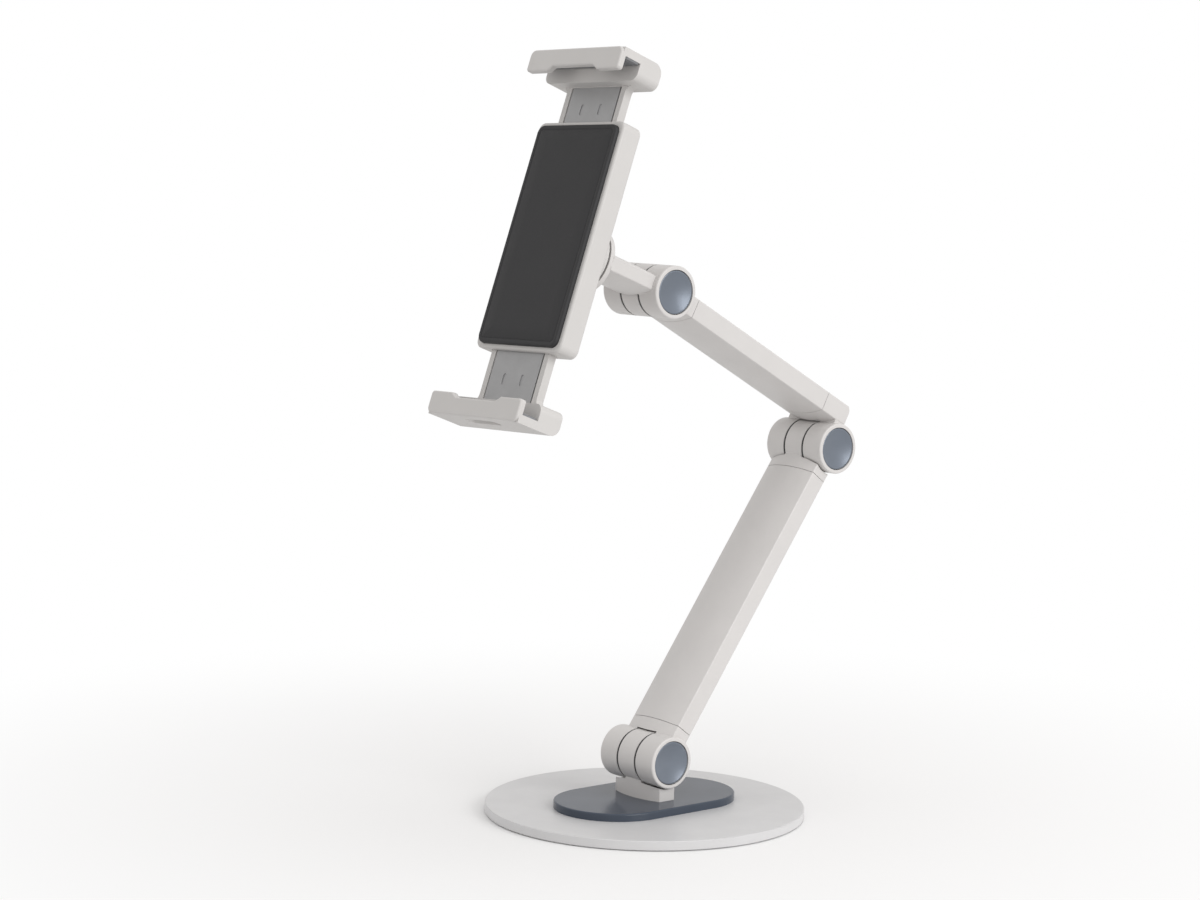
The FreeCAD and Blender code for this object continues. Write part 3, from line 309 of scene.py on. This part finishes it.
def rib(shape, x, low_z, high_z, base, crest):
    """Low rounded rib across the jaw, smaller towards its ends (distance from the end, size)."""
    stations = [(low_z + inset, size) for inset, size in RIB_TAPER]
    stations += [(high_z - inset, size) for inset, size in reversed(RIB_TAPER)]
    turns = [math.radians(180.0 * step / RIB_STEPS) for step in range(RIB_STEPS + 1)]
    lift = crest - base
    lofted(shape, [[(x + RIB_HALF_WIDTH * size * math.cos(turn), base + lift * size * math.sin(turn), z)
                    for turn in turns] for z, size in stations])


def jaw_insert(name, cad_name, body):
    """Soft lining of a jaw: a ring round the cable slot with fine ribs across both lands."""
    low, high = local_box(cad_name)
    face, seat = (low[1], high[1]) if low[1] > 0.0 else (high[1], low[1])
    land = face + (seat - face) * INSERT_LAND_SHARE
    outer_box = ((low[0], high[0]), (low[2], high[2]), INSERT_CORNER_RADIUS)
    slot_span = (high[2] - SLOT_BACK_FROM_FRONT, high[2] - SLOT_FRONT_FROM_FRONT)
    inner_box = ((-SLOT_HALF_WIDTH, SLOT_HALF_WIDTH), slot_span, SLOT_CORNER_RADIUS)
    shape = bmesh.new()
    ring(shape, outer_box, inner_box, seat, land)
    for side in (-1, 1):
        for index in range(RIBS):
            x = side * (RIB_START + RIB_PITCH * index)
            rib(shape, x, low[2] + RIB_END_MARGIN, high[2] - RIB_END_MARGIN, land, face)
    piece(name, shape, CLAMP_PLACE, body, "grey_rubber", cad_name)


CAP_RIM = ((0.0, 0.30), (0.09, 0.09), (0.30, 0.0), (0.70, 0.0), (0.85, 0.04), (1.00, 0.12))
CAP_CENTRE = ((1.4, 1.10), (0.5, 1.14))
CAP_SEGMENTS = 72


def hinge_caps(hinge, body):
    """Pair of end caps: a rounded rim (inset, drop), then a shallow cone to the centre (radius, drop)."""
    name = hinge + "_caps"
    centre = Vector(JOINTS[hinge]["pos_m"])
    points = [(vertex.co - centre) / MM for vertex in NODES[name].data.vertices]
    outer = max(point.x for point in points)
    inner = min(point.x for point in points if point.x > 0.0)
    radius = max(math.hypot(point.y, point.z) for point in points)
    profile = [(radius, inner)]
    profile += [(radius - inset, outer - drop) for inset, drop in CAP_RIM]
    profile += [(size, outer - drop) for size, drop in CAP_CENTRE]
    turns = [math.radians(360.0 * step / CAP_SEGMENTS) for step in range(CAP_SEGMENTS)]
    shape = bmesh.new()
    for side in (1.0, -1.0):
        lofted(shape, [[(side * x, size * math.cos(turn), size * math.sin(turn)) for turn in turns]
                       for size, x in profile])
    piece(hinge + "_dished_caps", shape, Matrix.Translation(centre), body, "slate_plastic", name)


# ---- camera, floor and light, in metres ----------------------------------------------------------

CAMERA_AZIMUTH = math.radians(49.86)
CAMERA_PITCH = math.radians(6.24)
CAMERA_ROLL = math.radians(1.16)
CAMERA_PLACE = Vector((1.0297, -0.9013, 0.3274))
SENSOR_MM = 36.0
LENS_MM = 85.56
WHITE = (1.0, 1.0, 1.0, OPAQUE)
FLOOR_RADIUS = 40.0
FLOOR_SEGMENTS = 96
FLOOR_COLOUR = (0.90, 0.90, 0.90, OPAQUE)
FADE_START = 0.06
FADE_END = 0.50
BACKDROP_SHOWN = 1.0
AMBIENT_COLOUR = (1.0, 0.985, 0.975, OPAQUE)
AMBIENT_STRENGTH = 0.76
FLOOR_STRENGTH = 0.66
STAND_MIDDLE = (0.0, 0.0, 0.18)
KEY_PLACE = (2.0, 0.35, 0.9)
KEY_SIZE = 1.4
KEY_POWER = 20.0
TOP_PLACE = (0.2, 0.3, 2.4)
TOP_SIZE = 1.6
TOP_POWER = 6.5


def camera():
    """Camera at the photo's place, pitched down and slightly rolled."""
    data = bpy.data.cameras.new("camera")
    data.sensor_width = SENSOR_MM
    data.lens = LENS_MM
    made = bpy.data.objects.new("camera", data)
    bpy.context.scene.collection.objects.link(made)
    back = Vector((math.sin(CAMERA_AZIMUTH) * math.cos(CAMERA_PITCH),
                   -math.cos(CAMERA_AZIMUTH) * math.cos(CAMERA_PITCH), math.sin(CAMERA_PITCH)))
    right = Vector((math.cos(CAMERA_AZIMUTH), math.sin(CAMERA_AZIMUTH), 0.0))
    up = back.cross(right)
    rolled_right = math.cos(CAMERA_ROLL) * right + math.sin(CAMERA_ROLL) * up
    rolled_up = math.cos(CAMERA_ROLL) * up - math.sin(CAMERA_ROLL) * right
    turn = Matrix((rolled_right, rolled_up, back)).transposed()
    made.matrix_world = Matrix.Translation(CAMERA_PLACE) @ turn.to_4x4()
    bpy.context.scene.camera = made


def blend(tree, factor, first, second):
    """Mix of two shaders, all of the second where the factor is 1."""
    made = node(tree, "ShaderNodeMixShader")
    tree.links.new(factor, made.inputs["Fac"])
    tree.links.new(first.outputs[0], made.inputs[1])
    tree.links.new(second.outputs[0], made.inputs[2])
    return made


def floor():
    """Large pale disc that fades to the same white as the surroundings, so that no horizon shows."""
    mesh = bpy.data.meshes.new("floor")
    shape = bmesh.new()
    bmesh.ops.create_circle(shape, cap_ends=True, radius=FLOOR_RADIUS, segments=FLOOR_SEGMENTS)
    shape.to_mesh(mesh)
    shape.free()
    made = bpy.data.objects.new("floor", mesh)
    bpy.context.scene.collection.objects.link(made)
    paint = bpy.data.materials.new("floor")
    paint.use_nodes = True
    tree = paint.node_tree
    tree.nodes.clear()
    coords = node(tree, "ShaderNodeTexCoord")
    distance = node(tree, "ShaderNodeVectorMath", operation="LENGTH")
    fade = node(tree, "ShaderNodeMapRange", interpolation_type="SMOOTHSTEP")
    fade.inputs["From Min"].default_value = FADE_START
    fade.inputs["From Max"].default_value = FADE_END
    tree.links.new(coords.outputs["Object"], distance.inputs[0])
    tree.links.new(distance.outputs["Value"], fade.inputs["Value"])
    matt = node(tree, "ShaderNodeBsdfDiffuse", Color=FLOOR_COLOUR)
    cast = node(tree, "ShaderNodeEmission", Color=AMBIENT_COLOUR, Strength=FLOOR_STRENGTH)
    shown = node(tree, "ShaderNodeEmission", Color=WHITE, Strength=BACKDROP_SHOWN)
    path = node(tree, "ShaderNodeLightPath")
    glow = blend(tree, path.outputs["Is Camera Ray"], cast, shown)
    mixed = blend(tree, fade.outputs["Result"], matt, glow)
    out = node(tree, "ShaderNodeOutputMaterial")
    tree.links.new(mixed.outputs[0], out.inputs["Surface"])
    mesh.materials.append(paint)


def area_light(name, place, size, energy):
    """Round lamp aimed at the middle of the stand."""
    data = bpy.data.lights.new(name, "AREA")
    data.shape = "DISK"
    data.size = size
    data.energy = energy
    made = bpy.data.objects.new(name, data)
    bpy.context.scene.collection.objects.link(made)
    made.location = place
    made.rotation_mode = "QUATERNION"
    made.rotation_quaternion = (Vector(STAND_MIDDLE) - Vector(place)).to_track_quat("-Z", "Y")


def surroundings():
    """White backdrop; it lights the object more softly than it shows, and two wide lamps shape it."""
    world = bpy.data.worlds.new("world")
    world.use_nodes = True
    tree = world.node_tree
    backdrop = tree.nodes["Background"]
    backdrop.inputs["Color"].default_value = WHITE
    backdrop.inputs["Strength"].default_value = BACKDROP_SHOWN
    ambient = node(tree, "ShaderNodeBackground", Color=AMBIENT_COLOUR, Strength=AMBIENT_STRENGTH)
    path = node(tree, "ShaderNodeLightPath")
    mixed = blend(tree, path.outputs["Is Camera Ray"], ambient, backdrop)
    tree.links.new(mixed.outputs[0], tree.nodes["World Output"].inputs["Surface"])
    bpy.context.scene.world = world
    bpy.context.scene.view_settings.view_transform = "Standard"
    area_light("key", KEY_PLACE, KEY_SIZE, KEY_POWER)
    area_light("top", TOP_PLACE, TOP_SIZE, TOP_POWER)


grip_pad()
for hinge, arm in (("lower_hinge", "lower_arm"), ("elbow_hinge", "upper_arm"), ("head_hinge", "head")):
    hinge_caps(hinge, arm)
jaw_insert("upper_jaw_insert", "upper_jaw_pad", "upper_jaw")
jaw_insert("lower_jaw_insert", "lower_jaw_pad", "lower_jaw")
camera()
floor()
surroundings()
